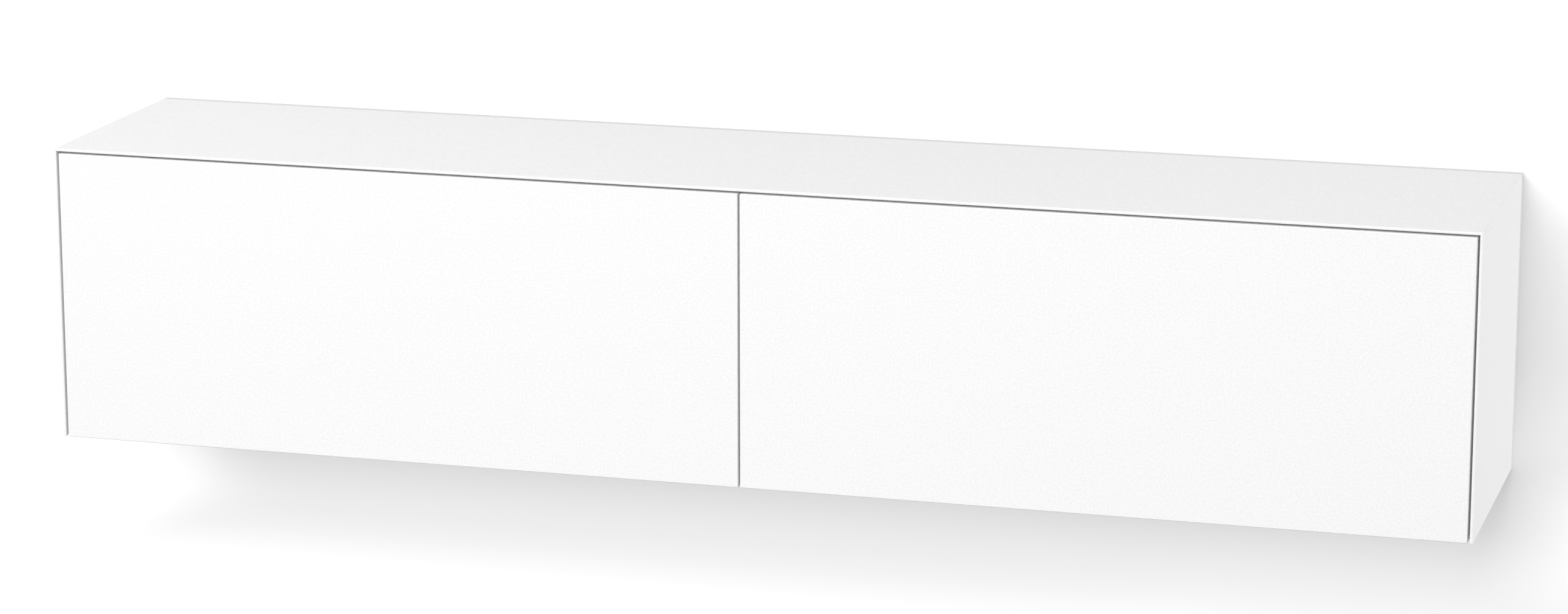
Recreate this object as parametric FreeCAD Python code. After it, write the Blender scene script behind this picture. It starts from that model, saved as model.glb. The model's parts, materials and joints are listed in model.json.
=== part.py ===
import FreeCAD, Part
import math
import os

V = FreeCAD.Vector

# Hanging wall cabinet: a mitred carcass of lacquered board with two bays, each closed by a flap that
# drops open on butt hinges along its lower edge and is held by two parallel-link brake stays.
# X runs along the wall, Y points into the wall, Z is up, and everything is in millimetres. The cabinet is
# drawn with Z = 0 on its underside and Y = 0 on the wall, then moved so that the origin is at the wall holes.

# Overall size
WIDTH = 1800.0
HEIGHT = 375.0
DEPTH = 360.0

# Boards and the gaps round the flaps
BOARD = 19.0
FLAP_BOARD = 19.0
SHELF_BOARD = 16.0
BACK_BOARD = 8.0
LIP = 3.5
REVEAL = 3.0
FLAP_CLEAR = 2.0
GROOVE_DEEP = 5.0
EASE = 0.8

# Shelves, on pins in three rows of holes
SHELF_Z = 192.0
SHELF_SIDE_GAP = 1.0
SHELF_BACK_GAP = 2.0
SHELF_SETBACK = 28.0
PIN_R = 2.5
PIN_IN = 9.0
PIN_OUT = 7.0
PIN_INSET = 45.0
PIN_PITCH = 32.0

# Battens behind the back panel's top edge, and the joints of the carcass
BATTEN_HIGH = 70.0
BATTEN_BOARD = 19.0
DOWEL_R = 4.0
DOWEL_IN = 10.0
DOWEL_LONG = 32.0
DOWEL_INSET = 50.0
SPLINE_THICK = 4.0
SPLINE_WIDE = 12.0
SPLINE_END = 25.0

# Interlocking hanging rails: four layers of sheet between the back panel and the wall
RAIL_SHEET = 2.7
RAIL_GAP = 0.4
RAIL_END_GAP = 31.0
RAIL_DROP = 75.0
RAIL_HOOK = 12.0
RAIL_LIFT = 1.0
RAIL_FLANGE = 38.0
WALL_HOLE_R = 3.0
WALL_HOLE_DROP = 20.0
WALL_HOLE_FIRST = 150.0
WALL_HOLE_END = 70.0
WALL_HOLES = 3
RAIL_SCREW_FIRST = 120.0
RAIL_SCREW_END = 50.0
RAIL_SCREWS = 4
RAIL_SCREW_RISE = 22.0

# Butt hinges at the lower edge of each flap
HINGE_IN = 4.0
HINGE_UP = 4.5
HINGE_SHEET = 1.5
HINGE_LONG = 50.0
KNUCKLE_R = 3.0
KNUCKLE_MID = 20.0
KNUCKLE_GAP = 0.3
HINGE_PIN_R = 1.2
PIN_PLAY = 0.05
HINGE_END = 90.0
LEAF_DEEP = 30.0
LEAF_HIGH = 36.0
NOTCH_PLAY = 1.2
EDGE_CHAMFER = 3.0

# Brake stays: the arm turns with the flap and the link stays parallel to itself
STAY_BACK = 185.0
STAY_FLOOR_GAP = 2.5
CRANK_IN = 22.0
CRANK_UP = 110.0
STAY_SHEET = 3.0
STAY_PLAY = 0.3
STAY_HALF = 8.0
BRAKE_PLATE = 2.0
BRAKE_PLATE_LONG = 70.0
BRAKE_PLATE_HIGH = 46.0
BRAKE_SCREW_IN = 7.0
BRAKE_DRUM_R = 18.0
BRAKE_DRUM_THICK = 8.0
BRAKE_PIN_R = 4.0
LINK_PIN_R = 3.0
RIVET_HEAD_R = 5.0
RIVET_HEAD = 1.0
BRACKET_SHEET = 2.0
BRACKET_HIGH = 46.0
BRACKET_WIDE = 22.0
BRACKET_SCREW_IN = 6.0

# Push-to-open latch under the top panel, in the middle of each bay
LATCH_WIDE = 14.0
LATCH_HIGH = 16.0
LATCH_LONG = 75.0
LATCH_FRONT_GAP = 1.0
PLUNGER_R = 4.0
PLUNGER_LONG = 55.0
PLUNGER_PLAY = 0.1
PLUNGER_REST_GAP = 0.3
STRIKE_WIDE = 14.0
STRIKE_HIGH = 14.0
STRIKE_SHEET = 1.0

# Bumpers, and the countersunk wood screw used throughout
BUMPER_R = 3.5
BUMPER_GAP = 0.3
BUMPER_DROP = 20.0
SCREW_R = 1.75
SCREW_HEAD_R = 3.2
SCREW_LONG = 14.5
RAIL_SCREW_LONG = 30.0

# Planes and lines that the pieces share
FRONT = -DEPTH
FLAP_BACK = FRONT + FLAP_BOARD
SEAT = FLAP_BACK + FLAP_CLEAR
TOP_IN = HEIGHT - BOARD
SIDE_IN = WIDTH / 2 - BOARD
MID_IN = BOARD / 2
RECESS = 4 * RAIL_SHEET + 3 * RAIL_GAP
BACK_FACE = -(RECESS + BACK_BOARD)
OPEN_TOP = HEIGHT - LIP
OPEN_SIDE = WIDTH / 2 - LIP
FLAP_TOP = OPEN_TOP - REVEAL
FLAP_X0 = REVEAL / 2
FLAP_X1 = OPEN_SIDE - REVEAL
FLAP_MID = (FLAP_X0 + FLAP_X1) / 2
BAY_MID = (MID_IN + SIDE_IN) / 2
HINGE_Y = FLAP_BACK - HINGE_IN
HINGE_XS = [FLAP_X0 + HINGE_END, FLAP_MID, FLAP_X1 - HINGE_END]
RAIL_HALF = SIDE_IN - RAIL_END_GAP
RAIL_SEAT_Z = HEIGHT - RAIL_DROP
WALL_HOLE_Z = RAIL_SEAT_Z - RAIL_HOOK - WALL_HOLE_DROP
RAIL_SCREW_Z = RAIL_SEAT_Z + RAIL_SCREW_RISE
BRAKE_Y = HINGE_Y + STAY_BACK
BRAKE_Z = BOARD + STAY_FLOOR_GAP + BRAKE_PLATE_HIGH / 2
ELBOW_Y = BRAKE_Y + CRANK_IN
ELBOW_Z = BRAKE_Z + CRANK_UP
EYE_Y = HINGE_Y + CRANK_IN
EYE_Z = HINGE_UP + CRANK_UP
ARM_X = BRAKE_PLATE + BRAKE_DRUM_THICK + RIVET_HEAD + STAY_PLAY
LINK_X = ARM_X + STAY_SHEET + STAY_PLAY
SHELF_PIN_YS = [SEAT + SHELF_SETBACK + PIN_INSET, BACK_FACE - PIN_INSET]


def box(x0, x1, y0, y1, z0, z1):
    """A block between two opposite corners, given as pairs of limits along X, Y and Z."""
    return Part.makeBox(x1 - x0, y1 - y0, z1 - z0, V(x0, y0, z0))


def rod(r, start, axis, length):
    """A round rod of radius r that runs from start along axis."""
    return Part.makeCylinder(r, length, V(*start), V(*axis))


def prism(points, y0, y1):
    """A prism along Y, from y0 to y1, on an outline of X, Z points."""
    wire = Part.makePolygon([V(x, y0, z) for x, z in points + points[:1]])
    return Part.Face(wire).extrude(V(0, y1 - y0, 0))


def bar_along_x(x0, x1, points):
    """A prism along X, from x0 to x1, on an outline of Y, Z points."""
    wire = Part.makePolygon([V(x0, y, z) for y, z in points + points[:1]])
    return Part.Face(wire).extrude(V(x1 - x0, 0, 0))


def join(shapes):
    """One solid from pieces that share faces or overlap."""
    return shapes[0].multiFuse(shapes[1:]).removeSplitter()


def group(shapes):
    """Separate solids kept together as one node."""
    return Part.makeCompound([solid for shape in shapes for solid in shape.Solids])


def spread(first, last, count):
    """Evenly spaced places from first to last."""
    return [first + i * (last - first) / (count - 1) for i in range(count)]


def mirrored(shape):
    """The same piece on the other side of the cabinet's middle."""
    return shape.mirror(V(0, 0, 0), V(1, 0, 0))


def both(shapes):
    """The pieces of the right bay with their mirror images in the left bay."""
    return list(shapes) + [mirrored(s) for s in shapes]


def screw(head, axis, length):
    """A countersunk screw with its flat head at head, driven along axis."""
    sink = SCREW_HEAD_R - SCREW_R
    cone = Part.makeCone(SCREW_HEAD_R, SCREW_R, sink, V(*head), V(*axis))
    return join([cone, rod(SCREW_R, head, axis, length)])


def slot_plate(x0, x1, a, b, half):
    """A flat bar with round ends between two pivots a and b, given as Y, Z, and its thickness from x0 to x1."""
    run = V(0, b[0] - a[0], b[1] - a[1])
    side = V(0, -run.z, run.y).normalize() * half
    start, end = V(x0, *a), V(x0, *b)
    edge = [start + side, end + side, end - side, start - side]
    middle = Part.Face(Part.makePolygon(edge + edge[:1])).extrude(V(x1 - x0, 0, 0))
    ends = [rod(half, (x0, *p), (1, 0, 0), x1 - x0) for p in (a, b)]
    return join([middle] + ends)


def ease_front(shape, y, radius):
    """Rounds the long edges that lie in the front plane y."""
    flat = [e for e in shape.Edges if abs(e.BoundBox.YMin - y) < 1e-6 and abs(e.BoundBox.YMax - y) < 1e-6]
    return shape.makeFillet(radius, flat)


# Hinges, drawn for the right bay

def knuckle(x0, x1, bore):
    """One knuckle of a hinge round the pin's line."""
    centre = (x0, HINGE_Y, HINGE_UP)
    return rod(KNUCKLE_R, centre, (1, 0, 0), x1 - x0).cut(rod(bore, centre, (1, 0, 0), x1 - x0))


def hinge_pin(x):
    return rod(HINGE_PIN_R, (x - HINGE_LONG / 2, HINGE_Y, HINGE_UP), (1, 0, 0), HINGE_LONG)


def fixed_leaf(x):
    """The leaf let into the bottom panel's front edge and top face, with the two outer knuckles."""
    half, mid = HINGE_LONG / 2, KNUCKLE_MID / 2 + KNUCKLE_GAP
    edge = box(x - half, x + half, SEAT, SEAT + HINGE_SHEET, HINGE_UP - HINGE_SHEET, BOARD)
    top = box(x - half, x + half, SEAT, SEAT + LEAF_DEEP, BOARD - HINGE_SHEET, BOARD)
    pieces = [edge, top]
    for x0, x1 in ((x - half, x - mid), (x + mid, x + half)):
        pieces.append(rod(KNUCKLE_R, (x0, HINGE_Y, HINGE_UP), (1, 0, 0), x1 - x0))
        pieces.append(box(x0, x1, HINGE_Y, SEAT, HINGE_UP - HINGE_SHEET, HINGE_UP + HINGE_SHEET))
    return join(pieces).cut(hinge_pin(x))


def flap_leaf(x):
    """The leaf let into the flap's inner face, with the middle knuckle."""
    half, mid = HINGE_LONG / 2, KNUCKLE_MID / 2
    foot = HINGE_UP + KNUCKLE_R + NOTCH_PLAY
    plate = box(x - half, x + half, FLAP_BACK - HINGE_SHEET, FLAP_BACK, foot, foot + LEAF_HIGH)
    neck = box(x - mid, x + mid, FLAP_BACK - KNUCKLE_R, FLAP_BACK, HINGE_UP, foot)
    barrel = rod(KNUCKLE_R, (x - mid, HINGE_Y, HINGE_UP), (1, 0, 0), KNUCKLE_MID)
    bore = rod(HINGE_PIN_R + PIN_PLAY, (x - mid, HINGE_Y, HINGE_UP), (1, 0, 0), KNUCKLE_MID)
    return join([plate, neck, barrel]).cut(bore)


def hinge_notch(x):
    """The pocket in the flap's lower edge that the knuckles turn in."""
    half = HINGE_LONG / 2 + NOTCH_PLAY
    reach = KNUCKLE_R + NOTCH_PLAY
    return box(x - half, x + half, HINGE_Y - reach, FLAP_BACK, 0, HINGE_UP + reach)


def fixed_leaf_screws(x):
    spots = [x - HINGE_LONG / 3, x + HINGE_LONG / 3]
    y = SEAT + LEAF_DEEP * 0.6
    return [screw((s, y, BOARD), (0, 0, -1), SCREW_LONG) for s in spots]


def flap_leaf_screws(x):
    z = HINGE_UP + KNUCKLE_R + NOTCH_PLAY + LEAF_HIGH * 0.6
    return [screw((x + s * HINGE_LONG / 3, FLAP_BACK, z), (0, -1, 0), SCREW_LONG) for s in (-1, 0, 1)]


# Stays, drawn on a wall at X = 0 that faces +X

def brake_housing():
    """The plate and brake drum screwed to the bay's wall, bored for the arm's pin."""
    half, high = BRAKE_PLATE_LONG / 2, BRAKE_PLATE_HIGH / 2
    plate = box(0, BRAKE_PLATE, BRAKE_Y - half, BRAKE_Y + half, BRAKE_Z - high, BRAKE_Z + high)
    drum = rod(BRAKE_DRUM_R, (0, BRAKE_Y, BRAKE_Z), (1, 0, 0), BRAKE_PLATE + BRAKE_DRUM_THICK)
    return join([plate, drum]).cut(brake_pin())


def brake_pin():
    """The pin pressed into the drum, with a head outside the arm."""
    tip = ARM_X + STAY_SHEET + STAY_PLAY
    shank = rod(BRAKE_PIN_R, (0, BRAKE_Y, BRAKE_Z), (1, 0, 0), tip)
    return join([shank, rod(BRAKE_PIN_R + 2 * RIVET_HEAD, (tip, BRAKE_Y, BRAKE_Z), (1, 0, 0), RIVET_HEAD)])


def stay_arm():
    """The arm from the brake to the elbow."""
    arm = slot_plate(ARM_X, ARM_X + STAY_SHEET, (BRAKE_Y, BRAKE_Z), (ELBOW_Y, ELBOW_Z), STAY_HALF)
    return arm.cut(rod(BRAKE_PIN_R + PIN_PLAY, (0, BRAKE_Y, BRAKE_Z), (1, 0, 0), 2 * LINK_X)).cut(elbow_pin())


def rivet(y, z):
    """A shouldered rivet through the arm's or bracket's layer and the link's layer, headed at both ends."""
    shank = rod(LINK_PIN_R, (ARM_X, y, z), (1, 0, 0), LINK_X + STAY_SHEET + STAY_PLAY - ARM_X)
    inner = rod(RIVET_HEAD_R, (ARM_X - RIVET_HEAD, y, z), (1, 0, 0), RIVET_HEAD)
    outer = rod(RIVET_HEAD_R, (LINK_X + STAY_SHEET + STAY_PLAY, y, z), (1, 0, 0), RIVET_HEAD)
    return join([shank, inner, outer])


def elbow_pin():
    return rivet(ELBOW_Y, ELBOW_Z)


def eye_pin():
    return rivet(EYE_Y, EYE_Z)


def stay_link():
    """The link from the elbow to the eye of the flap's bracket, free to turn on both rivets."""
    link = slot_plate(LINK_X, LINK_X + STAY_SHEET, (ELBOW_Y, ELBOW_Z), (EYE_Y, EYE_Z), STAY_HALF)
    for y, z in ((ELBOW_Y, ELBOW_Z), (EYE_Y, EYE_Z)):
        link = link.cut(rod(LINK_PIN_R + PIN_PLAY, (0, y, z), (1, 0, 0), 2 * LINK_X))
    return link


def flap_bracket():
    """The angle bracket screwed to the flap, with an ear that carries the eye."""
    x0 = ARM_X + STAY_SHEET - BRACKET_WIDE / 2
    z0 = EYE_Z - BRACKET_HIGH / 2
    foot = box(x0, x0 + BRACKET_WIDE, FLAP_BACK, FLAP_BACK + BRACKET_SHEET, z0, z0 + BRACKET_HIGH)
    ear = slot_plate(ARM_X, ARM_X + STAY_SHEET, (FLAP_BACK + STAY_HALF, EYE_Z), (EYE_Y, EYE_Z), STAY_HALF)
    ear = join([ear, box(ARM_X, ARM_X + STAY_SHEET, FLAP_BACK, FLAP_BACK + STAY_HALF, EYE_Z - STAY_HALF,
                         EYE_Z + STAY_HALF)])
    return join([foot, ear]).cut(eye_pin())


def brake_screws():
    reach = BRAKE_PLATE_LONG / 2 - BRAKE_SCREW_IN
    return [screw((BRAKE_PLATE, BRAKE_Y + s * reach, BRAKE_Z), (-1, 0, 0), SCREW_LONG) for s in (-1, 1)]


def bracket_screws():
    """Two screws through the bracket's foot, clear of its ear."""
    rise = BRACKET_HIGH / 2 - BRACKET_SCREW_IN
    x, y = ARM_X + STAY_SHEET, FLAP_BACK + BRACKET_SHEET
    return [screw((x, y, EYE_Z + s * rise), (0, -1, 0), SCREW_LONG) for s in (-1, 1)]


def inner(shape):
    """Moves a stay from the drawing wall to the partition's face in the right bay."""
    return shape.translated(V(MID_IN, 0, 0))


def outer(shape):
    """Turns a stay over and moves it to the right side panel's inner face."""
    return mirrored(shape).translated(V(SIDE_IN, 0, 0))


def on_both_walls(shapes):
    return [inner(s) for s in shapes] + [outer(s) for s in shapes]


# Latch of the right bay

def plunger_axis():
    return TOP_IN - LATCH_HIGH / 2


def plunger():
    tip = FLAP_BACK + STRIKE_SHEET + PLUNGER_REST_GAP
    return rod(PLUNGER_R, (BAY_MID, tip, plunger_axis()), (0, 1, 0), PLUNGER_LONG)


def latch_housing():
    y0 = SEAT + LATCH_FRONT_GAP
    half = LATCH_WIDE / 2
    block = box(BAY_MID - half, BAY_MID + half, y0, y0 + LATCH_LONG, TOP_IN - LATCH_HIGH, TOP_IN)
    bore = rod(PLUNGER_R + PLUNGER_PLAY, (BAY_MID, y0, plunger_axis()), (0, 1, 0), PLUNGER_LONG)
    return block.cut(bore)


def strike_plate():
    half, high = STRIKE_WIDE / 2, STRIKE_HIGH / 2
    z = plunger_axis()
    return box(BAY_MID - half, BAY_MID + half, FLAP_BACK, FLAP_BACK + STRIKE_SHEET, z - high, z + high)


# Carcass

def front_recess():
    """The space in front of the carcass edges that the flaps fill."""
    return box(-OPEN_SIDE, OPEN_SIDE, FRONT - 1, SEAT, -1, OPEN_TOP)


def back_panel():
    reach = SIDE_IN + GROOVE_DEEP
    return box(-reach, reach, BACK_FACE, -RECESS, BOARD - GROOVE_DEEP, TOP_IN + GROOVE_DEEP)


def splines():
    """The loose tongues glued across the four mitres, square to each mitre."""
    along, across = SPLINE_WIDE / 2, SPLINE_THICK / 2
    found = []
    for sx in (-1, 1):
        for z, sz in ((BOARD - BOARD / 3, 1), (TOP_IN + BOARD / 3, -1)):
            x = sx * (SIDE_IN + BOARD / 3)
            u = (math.sqrt(0.5) * sx * sz * -1, -math.sqrt(0.5))
            w = (-u[1], u[0])
            corners = [(x + i * along * u[0] + j * across * w[0], z + i * along * u[1] + j * across * w[1])
                       for i, j in ((-1, -1), (1, -1), (1, 1), (-1, 1))]
            found.append(prism(corners, SEAT + SPLINE_END, BACK_FACE - SPLINE_END))
    return found


def dowels():
    """Dowels from the partition into the top and bottom, and from the battens into the walls."""
    found = []
    ys = [SEAT + DOWEL_INSET, (SEAT + BACK_FACE) / 2, BACK_FACE - DOWEL_INSET]
    for y in ys:
        found.append(rod(DOWEL_R, (0, y, BOARD - DOWEL_IN), (0, 0, 1), DOWEL_LONG))
        found.append(rod(DOWEL_R, (0, y, TOP_IN + DOWEL_IN), (0, 0, -1), DOWEL_LONG))
    y = BACK_FACE - BATTEN_BOARD / 2
    for z in (TOP_IN - BATTEN_HIGH / 4, TOP_IN - BATTEN_HIGH * 3 / 4):
        found += both([rod(DOWEL_R, (SIDE_IN + DOWEL_IN, y, z), (-1, 0, 0), DOWEL_LONG)])
        found.append(rod(DOWEL_R, (-DOWEL_LONG / 2, y, z), (1, 0, 0), DOWEL_LONG))
    return found


def shelf_pins():
    """Four pins that carry the right bay's shelf."""
    found = []
    z = SHELF_Z - PIN_R
    for y in SHELF_PIN_YS:
        found.append(rod(PIN_R, (MID_IN - PIN_IN, y, z), (1, 0, 0), PIN_IN + PIN_OUT))
        found.append(rod(PIN_R, (SIDE_IN + PIN_IN, y, z), (-1, 0, 0), PIN_IN + PIN_OUT))
    return found


def pin_holes():
    """The rows of spare shelf-pin holes above and below the pins, in the right bay's two walls."""
    found = []
    for y in SHELF_PIN_YS:
        for step in (-1, 0, 1):
            z = SHELF_Z - PIN_R + step * PIN_PITCH
            found.append(rod(PIN_R, (MID_IN - PIN_IN, y, z), (1, 0, 0), PIN_IN))
            found.append(rod(PIN_R, (SIDE_IN, y, z), (1, 0, 0), PIN_IN))
    return found


def rail_screws():
    y = -(3 * RAIL_SHEET + 3 * RAIL_GAP)
    xs = spread(RAIL_SCREW_FIRST, RAIL_HALF - RAIL_SCREW_END, RAIL_SCREWS)
    found = [screw((x, y, RAIL_SCREW_Z), (0, -1, 0), RAIL_SCREW_LONG) for x in xs]
    return both(found)


def carcass_screws():
    """Every short screw that goes into the carcass: hinge leaves and brake housings."""
    found = on_both_walls(brake_screws())
    for x in HINGE_XS:
        found += fixed_leaf_screws(x)
    return both(found)


def carcass():
    """The five boards of the carcass and the back, with every groove, hole and housing cut."""
    w, h, sx = WIDTH / 2, HEIGHT, SIDE_IN
    top = prism([(-w, h), (w, h), (sx, TOP_IN), (-sx, TOP_IN)], FRONT, 0)
    bottom = prism([(-sx, BOARD), (sx, BOARD), (w, 0), (-w, 0)], SEAT, 0)
    right = prism([(w, 0), (w, h), (sx, TOP_IN), (sx, BOARD)], SEAT, 0)
    lip = prism([(OPEN_SIDE, 0), (w, 0), (w, h), (OPEN_SIDE, OPEN_TOP)], FRONT, SEAT)
    right = join([right, lip])
    partition = box(-MID_IN, MID_IN, SEAT, BACK_FACE, BOARD, TOP_IN)
    leaves = [fixed_leaf(x) for x in HINGE_XS]
    cuts = group([back_panel()] + splines() + dowels() + both(pin_holes()) + carcass_screws() + both(leaves))
    boards = {
        "top_panel": top.cut(front_recess()).cut(cuts),
        "bottom_panel": bottom.cut(cuts),
        "right_side_panel": right.cut(cuts),
        "left_side_panel": mirrored(right).cut(cuts),
        "centre_partition": partition.cut(cuts),
        "back_panel": back_panel().cut(group(rail_screws())),
    }
    return boards


def batten():
    """The right bay's batten, which takes the screws of the hanging rail."""
    bar = box(MID_IN, SIDE_IN, BACK_FACE - BATTEN_BOARD, BACK_FACE, TOP_IN - BATTEN_HIGH, TOP_IN)
    return bar.cut(group(rail_screws() + dowels()))


def shelf():
    x0, x1 = MID_IN + SHELF_SIDE_GAP, SIDE_IN - SHELF_SIDE_GAP
    y0, y1 = SEAT + SHELF_SETBACK, BACK_FACE - SHELF_BACK_GAP
    return ease_front(box(x0, x1, y0, y1, SHELF_Z, SHELF_Z + SHELF_BOARD), y0, EASE)


def flap_screws():
    """Every screw in the right flap: hinge leaves and stay brackets."""
    found = on_both_walls(bracket_screws())
    for x in HINGE_XS:
        found += flap_leaf_screws(x)
    return found


def flap():
    """The right flap, eased at the front, chamfered at its lower inner edge and let out for the hinges."""
    board = box(FLAP_X0, FLAP_X1, FRONT, FLAP_BACK, 0, FLAP_TOP)
    board = ease_front(board, FRONT, EASE)
    corner = [(FLAP_BACK, 0), (FLAP_BACK, EDGE_CHAMFER), (FLAP_BACK - EDGE_CHAMFER, 0)]
    board = board.cut(bar_along_x(FLAP_X0, FLAP_X1, corner))
    cuts = [hinge_notch(x) for x in HINGE_XS] + [flap_leaf(x) for x in HINGE_XS] + flap_screws()
    return board.cut(group(cuts))


def bumpers():
    """Soft dots at the flap's upper corners that meet the carcass edge."""
    thick = FLAP_CLEAR - BUMPER_GAP
    spots = ((FLAP_X0 + MID_IN) / 2, (FLAP_X1 + SIDE_IN) / 2)
    return [rod(BUMPER_R, (x, FLAP_BACK, FLAP_TOP - BUMPER_DROP), (0, 1, 0), thick) for x in spots]


# Hanging rails

def rail_section(seat_z, up):
    """The hooked sheet as Y, Z points from the wall plane: flange, web at seat_z and lip."""
    t, g = RAIL_SHEET, RAIL_GAP
    lip_out = 3 * t + 2 * g
    lip_in = 2 * t + 2 * g
    tip = seat_z + up * RAIL_HOOK
    web = seat_z - up * t
    return [(0, seat_z - up * RAIL_FLANGE), (0, tip), (-t, tip), (-t, seat_z), (-lip_in, seat_z), (-lip_in, tip),
            (-lip_out, tip), (-lip_out, web), (-t, web), (-t, seat_z - up * RAIL_FLANGE)]


def wall_rail():
    """The rail that is fixed to the wall, with its lip pointing up."""
    bar = bar_along_x(-RAIL_HALF, RAIL_HALF, rail_section(RAIL_SEAT_Z - RAIL_HOOK, 1))
    xs = spread(WALL_HOLE_FIRST, RAIL_HALF - WALL_HOLE_END, WALL_HOLES)
    holes = both([rod(WALL_HOLE_R, (x, -RECESS, WALL_HOLE_Z), (0, 1, 0), RECESS) for x in xs])
    return bar.cut(group(holes))


def hanging_rail():
    """The rail on the cabinet's back, with its lip pointing down behind the wall rail's lip."""
    section = rail_section(RAIL_SEAT_Z, -1)
    lip = RAIL_SEAT_Z - RAIL_HOOK + RAIL_LIFT
    turned = [(-RECESS - y, lip if z == RAIL_SEAT_Z - RAIL_HOOK else z) for y, z in section]
    return bar_along_x(-RAIL_HALF, RAIL_HALF, turned).cut(group(rail_screws()))


def mirrored_pair(name, shape):
    """One piece of the right bay and its mirror image in the left bay, as two nodes."""
    return {f"right_{name}": shape, f"left_{name}": mirrored(shape)}


def all_nodes():
    nodes = carcass()
    bay = {
        "hanging_batten": batten(),
        "shelf": shelf(),
        "shelf_pins": group(shelf_pins()),
        "flap": flap(),
        "flap_bumpers": group(bumpers()),
        "flap_screws": group(flap_screws()),
        "hinge_fixed_leaves": group([fixed_leaf(x).cut(group(fixed_leaf_screws(x))) for x in HINGE_XS]),
        "hinge_flap_leaves": group([flap_leaf(x).cut(group(flap_leaf_screws(x))) for x in HINGE_XS]),
        "hinge_pins": group([hinge_pin(x) for x in HINGE_XS]),
        "stay_eye_pins": group(on_both_walls([eye_pin()])),
        "latch_housing": latch_housing(),
        "latch_plunger": plunger(),
        "latch_strike_plate": strike_plate(),
    }
    stay = {
        "stay_brake_housing": brake_housing().cut(group(brake_screws())),
        "stay_arm": stay_arm(),
        "stay_elbow_pin": elbow_pin(),
        "stay_link": stay_link(),
        "stay_flap_bracket": flap_bracket().cut(group(bracket_screws())),
    }
    for name, shape in stay.items():
        bay[f"inner_{name}"] = inner(shape)
        bay[f"outer_{name}"] = outer(shape)
    for name, shape in bay.items():
        nodes.update(mirrored_pair(name, shape))
    nodes["stay_brake_pins"] = group(both(on_both_walls([brake_pin()])))
    nodes["carcass_screws"] = group(carcass_screws())
    nodes["carcass_dowels"] = group(dowels())
    nodes["mitre_splines"] = group(splines())
    nodes["wall_rail"] = wall_rail()
    nodes["hanging_rail"] = hanging_rail()
    nodes["hanging_rail_screws"] = group(rail_screws())
    return nodes


os.makedirs("parts", exist_ok=True)
for name, shape in all_nodes().items():
    placed = shape.translated(V(0, 0, -WALL_HOLE_Z))
    if len(placed.Solids) == 1:
        placed = placed.Solids[0]
    placed.exportStep(f"parts/{name}.step")
    print(name, len(placed.Solids), placed.isValid(), round(placed.Volume))
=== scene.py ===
import json
import math

import bmesh
import bpy
import numpy as np
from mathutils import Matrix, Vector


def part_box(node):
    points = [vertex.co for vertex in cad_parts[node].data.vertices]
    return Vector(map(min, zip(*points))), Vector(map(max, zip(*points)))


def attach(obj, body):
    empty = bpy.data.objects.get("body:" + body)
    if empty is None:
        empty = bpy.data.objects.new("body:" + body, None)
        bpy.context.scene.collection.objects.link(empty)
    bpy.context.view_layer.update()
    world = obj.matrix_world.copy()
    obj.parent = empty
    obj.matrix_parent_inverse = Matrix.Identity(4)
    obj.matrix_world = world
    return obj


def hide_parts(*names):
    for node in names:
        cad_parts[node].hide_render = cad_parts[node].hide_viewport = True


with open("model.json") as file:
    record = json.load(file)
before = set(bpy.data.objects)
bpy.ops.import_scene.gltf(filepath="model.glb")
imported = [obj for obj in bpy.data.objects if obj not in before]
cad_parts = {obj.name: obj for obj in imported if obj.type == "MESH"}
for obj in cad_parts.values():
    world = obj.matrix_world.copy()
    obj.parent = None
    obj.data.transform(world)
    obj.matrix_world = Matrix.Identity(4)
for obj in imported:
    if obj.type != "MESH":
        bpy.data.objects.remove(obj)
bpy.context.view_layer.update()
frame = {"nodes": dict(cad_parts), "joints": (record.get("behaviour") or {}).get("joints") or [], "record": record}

# ---------------------------------------------------------------------------------------------------------
# The view: a long lens that stands well back, to the right of the cabinet and above its top.
# ---------------------------------------------------------------------------------------------------------

MM = 0.001
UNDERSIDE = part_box("right_side_panel")[0][2]
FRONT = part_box("right_side_panel")[0][1]
camera = bpy.data.objects.new("camera", bpy.data.cameras.new("camera"))
LENS = 108.2
STAND_RIGHT, STAND_BACK, STAND_HIGH = 1.587, 5.348, 1.549
LOOK_DOWN, LOOK_LEFT = 13.32, 15.96
camera.data.sensor_width = 36.0
camera.data.lens = LENS
camera.location = (STAND_RIGHT, FRONT - STAND_BACK, UNDERSIDE + STAND_HIGH)
camera.rotation_euler = (math.radians(90 - LOOK_DOWN), 0, math.radians(LOOK_LEFT))
bpy.context.scene.collection.objects.link(camera)
bpy.context.scene.camera = camera


# ---------------------------------------------------------------------------------------------------------
# The room: a pale floor a hand's breadth below the cabinet and the white painted wall that it hangs on.
# The wall shows only from its painted side and stops no light, so that the cabinet's back can be seen.
# ---------------------------------------------------------------------------------------------------------

def linear(hex_code):
    """A colour given as sRGB hex, as linear red, green and blue with full alpha."""
    srgb = np.array([int(hex_code[i:i + 2], 16) for i in (1, 3, 5)]) / 255
    value = np.where(srgb <= 0.04045, srgb / 12.92, ((srgb + 0.055) / 1.055) ** 2.4)
    return (*value.tolist(), 1.0)


def add(tree, kind, settings=None, links=None):
    """Adds a shader node. settings holds its properties and unlinked inputs, and links its linked inputs."""
    node = tree.nodes.new(kind)
    for key, value in (settings or {}).items():
        if isinstance(key, str) and hasattr(node, key):
            setattr(node, key, value)
        else:
            node.inputs[key].default_value = value
    for key, source in (links or {}).items():
        tree.links.new(source, node.inputs[key])
    return node


def empty_material(name):
    """A material with no nodes in it yet, and its node tree."""
    material = bpy.data.materials.new(name)
    material.use_nodes = True
    material.node_tree.nodes.clear()
    return material, material.node_tree


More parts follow.
